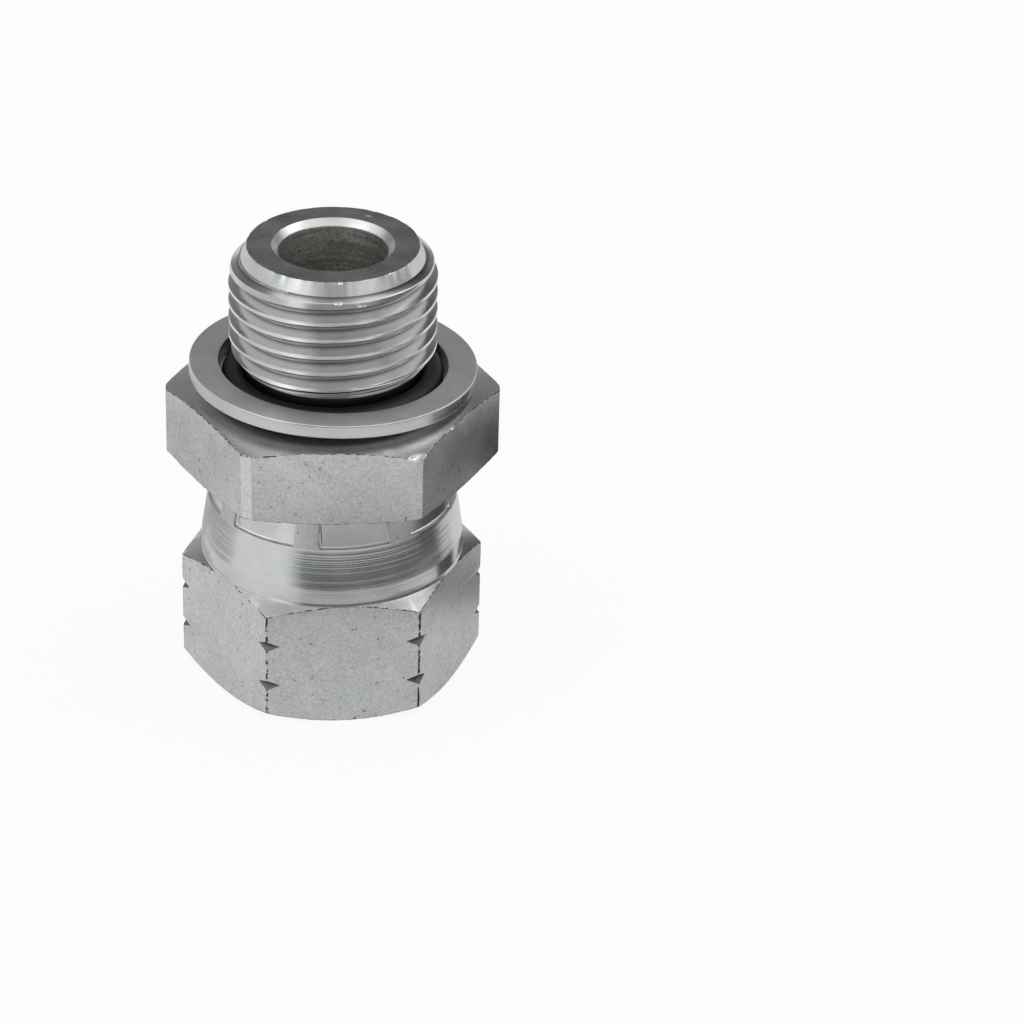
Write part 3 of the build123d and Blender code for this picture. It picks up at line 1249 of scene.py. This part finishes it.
# %% [markdown]
# ## Table, light and flags
# Metal shows what stands around it, so the studio matters as much as the finish. The table and
# the surroundings are white. Grey flags, which only reflections see, stand where a studio
# would put black card: behind, to darken the level faces, in front, to give the neck its dark
# middle, and on the right, to turn that side away from the light. Real card would
# also shade the table, so a flag here casts no shadow. A level face mirrors what stands thirty
# degrees up behind it, and an upright face mirrors the table in front of it, so each flag is
# placed by following one ray back from the surface that it is meant for.

# %% Table and surroundings
AMBIENT = 0.8  # share of the white that reaches dull surfaces
CAMERA_WHITE = 0.9  # share of the table that the camera sees as pure white


def white_world():
    """White for the camera and for reflections, softer as light on dull surfaces."""
    white = Finish("white_surroundings", "worlds")
    rays = ("Is Camera Ray", "Is Glossy Ray", "Is Transmission Ray")
    looks = [white.node("ShaderNodeLightPath", output=ray) for ray in rays]
    seen = looks[0] + looks[1] + looks[2]
    strength = seen * (1 - AMBIENT) + AMBIENT
    light = white.node("ShaderNodeBackground", {}, {"Color": (1, 1, 1, 1), "Strength": strength})
    white.node("ShaderNodeOutputWorld", {}, {"Surface": light})
    return white.made


def table_finish():
    """White table that the camera sees nearly as white as the surroundings, with its shadows."""
    white = Finish("white_table")
    path = white.node("ShaderNodeLightPath", output="Is Camera Ray")
    dull = white.node("ShaderNodeBsdfDiffuse", {}, {"Color": (0.88, 0.88, 0.88, 1)})
    glow = white.node("ShaderNodeEmission", {}, {"Color": (1, 1, 1, 1), "Strength": 1.0})
    seen = white.node("ShaderNodeMixShader", {}, {0: path * CAMERA_WHITE, 1: dull, 2: glow})
    white.node("ShaderNodeOutputMaterial", {}, {"Surface": seen})
    return white.made


bpy.context.scene.world = white_world()
bpy.ops.object.select_all(action="DESELECT")
bpy.ops.mesh.primitive_plane_add(size=6, location=(0, 0, 0))
table = bpy.context.object
table.name = "table"
table.data.materials.append(table_finish())
print("table and surroundings are ready")


# %% Flags that only reflections see
OFF_TABLE = 0.5  # millimetres between the table and a flag that lies on it
SWEEP_STEP = 10  # degrees


def reflected_only(card, grey):
    """Makes a card glow in one grey, for reflections only, and puts it on the stage."""
    finish = Finish(card.name)
    glow = finish.node("ShaderNodeEmission", {}, {"Color": (grey, grey, grey, 1), "Strength": 1.0})
    finish.node("ShaderNodeOutputMaterial", {}, {"Surface": glow})
    card.data.materials.append(finish.made)
    card.visible_camera = False
    card.visible_diffuse = False
    card.visible_shadow = False
    card.visible_transmission = False


def flag(name, middle, size, grey, turn=(0, 0, 0)):
    """Flat card with its middle and size in millimetres and its turn in degrees."""
    bpy.ops.object.select_all(action="DESELECT")
    bpy.ops.mesh.primitive_plane_add(
        size=MM,
        location=Vector(middle) * MM,
        rotation=[math.radians(angle) for angle in turn],
    )
    made = bpy.context.object
    made.name = name
    made.scale = (size[0], size[1], 1)
    bpy.ops.object.transform_apply(location=True, rotation=True, scale=True)
    reflected_only(made, grey)


def swept_flag(name, start, end, first, last, grey):
    """Curved flag between two azimuths; first and last are (distance, height) of its edges."""
    made = draw_outline(name, [first, last])
    steps = max(1, round((end - start) / SWEEP_STEP))
    bpy.ops.mesh.spin(
        steps=steps, angle=math.radians(start - end), center=(0, 0, 0), axis=(0, 0, 1)
    )
    bpy.ops.object.mode_set(mode="OBJECT")
    made.rotation_euler = (0, 0, math.radians(start - 90))
    bpy.ops.object.transform_apply(location=True, rotation=True, scale=True)
    reflected_only(made, grey)


def floor_flag(name, start, end, near, far, grey):
    """Flag lying on the table between two azimuths and two distances."""
    swept_flag(name, start, end, (near, OFF_TABLE), (far, OFF_TABLE), grey)


def wall_flag(name, start, end, distance, low, high, grey):
    """Flag standing upright between two azimuths."""
    swept_flag(name, start, end, (distance, low), (distance, high), grey)


wall_flag("flag_neck", -21, 86, 30, 9.5, 15.4, 0.13)
wall_flag("flag_neck_edge", -26.5, -21, 30, 9.5, 15.4, 0.4)
wall_flag("flag_neck_left", -32, -26.5, 30, 9.5, 15.4, 0.7)
floor_flag("flag_nut", -30, 50, 14.5, 37, 0.6)
floor_flag("flag_neck_foot", -23, 95, 36, 51, 0.3)
floor_flag("flag_front", -24, 55, 53, 64, 0.6)
wall_flag("flag_front_wall", -30, 50, 500, 0, 160, 0.25)
wall_flag("flag_camera", -20, 22, 330, 110, 340, 0.35)
floor_flag("flag_right", 55, 100, 53, 62, 0.12)
wall_flag("flag_right_wall", 50, 104, 400, 0, 160, 0.1)
wall_flag("flag_hex_right", 66, 134, 30, 12.4, 24.8, 0.02)
floor_flag("flag_hex_right_low", 88, 113, 24, 46, 0.05)
floor_flag("flag_left", -128, -85, 44, 72, 0.4)
floor_flag("flag_left_back", -150, -128, 25, 72, 0.5)
floor_flag("flag_left_far", -118, -50, 200, 500, 0.6)
wall_flag("flag_left_wall", -118, -50, 500, 0, 250, 0.6)
flag("flag_back", (0, 260, 338), (900, 525), 0.2, turn=(90, 0, 0))
flag("flag_back_right", (255, 255, 400), (390, 400), 0.06, turn=(90, 0, 0))
flag("flag_back_left", (-255, 255, 412), (390, 375), 0.12, turn=(90, 0, 0))
flag("flag_above", (0, 50, 420), (120, 420), 0.26)
print("flags are up")


# %% Soft boxes
def softbox(name, place, size, radiance, target=(0, 0, 25)):
    """Square area lamp in millimetres, aimed at a target, of a given brightness."""
    lamp = bpy.data.lights.new(name, "AREA")
    lamp.size = size * MM
    lamp.energy = radiance * math.pi * (size * MM) ** 2
    holder = bpy.data.objects.new(name, lamp)
    bpy.context.scene.collection.objects.link(holder)
    holder.location = Vector(place) * MM
    holder.rotation_mode = "QUATERNION"
    holder.rotation_quaternion = (Vector(place) - Vector(target)).to_track_quat("Z", "Y")


softbox("softbox_left", (-260, -140, 260), 200, 1.0)
softbox("softbox_right", (270, 60, 320), 200, 1.0)
print("soft boxes are lit")

# %% [markdown]
# ## Camera
# The camera looks down at the piece by thirty degrees through a long lens, which keeps the
# upright edges nearly parallel. The piece stands left of the middle of the frame, so the lens
# is shifted sideways rather than the camera turned.

# %% Camera
CAMERA_PLACE = (0.082, -339.92, 211.6)
CAMERA_AIM = (0.085, 0, 16.89)
CAMERA_LENS = 133.5
CAMERA_SHIFT = 0.1748
CAMERA_ROLL = 0.23  # degrees

lens = bpy.data.cameras.new("camera")
lens.lens = CAMERA_LENS
lens.sensor_width = 36
lens.shift_x = CAMERA_SHIFT
lens.clip_start = 0.01
lens.clip_end = 20
camera = bpy.data.objects.new("camera", lens)
bpy.context.scene.collection.objects.link(camera)
camera.location = Vector(CAMERA_PLACE) * MM
camera.rotation_mode = "QUATERNION"
look = (Vector(CAMERA_PLACE) - Vector(CAMERA_AIM)).to_track_quat("Z", "Y")
roll = Matrix.Rotation(math.radians(CAMERA_ROLL), 4, "Z").to_quaternion()
camera.rotation_quaternion = look @ roll
bpy.context.scene.camera = camera
bpy.context.scene.view_settings.view_transform = "Standard"
print("camera is", round((Vector(CAMERA_PLACE) - Vector(CAMERA_AIM)).length), "mm away")
